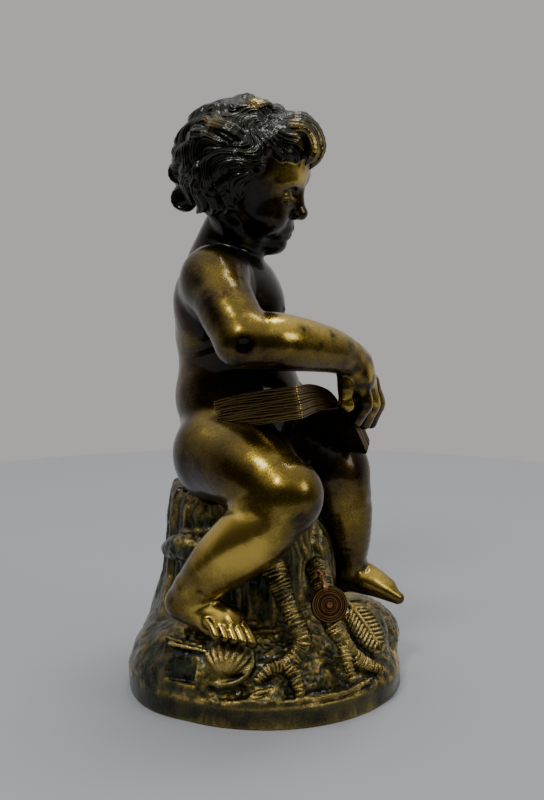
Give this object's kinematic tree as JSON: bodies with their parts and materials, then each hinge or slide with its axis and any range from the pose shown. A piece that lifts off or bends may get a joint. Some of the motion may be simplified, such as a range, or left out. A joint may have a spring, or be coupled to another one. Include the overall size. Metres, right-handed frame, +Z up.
{
  "type": "bronze statuette",
  "caption": "Bronze statuette of a seated nude child reading an open book on a stump, on a natural ground base.",
  "frame": {"origin": "centre of the base's flat underside, on the table", "axes": "+Z up, +X the way the child looks and its toes point, +Y towards the child's left side"},
  "size_m": [0.1142, 0.1141, 0.2352],
  "materials": {
    "figure_bronze": "worn brown patina, satin, rubbed to gold on the high places",
    "book_bronze": "dark brown patina with rubbed edges",
    "base_bronze": "dark green-brown patina with gold-worn ridges",
    "disc_copper": "turned red-brown copper, dull satin"
  },
  "bodies": {
    "root": {"child": "figure_bronze", "book": "book_bronze", "ground_base": "base_bronze", "copper_disc": "disc_copper"}
  },
  "joints": []
}
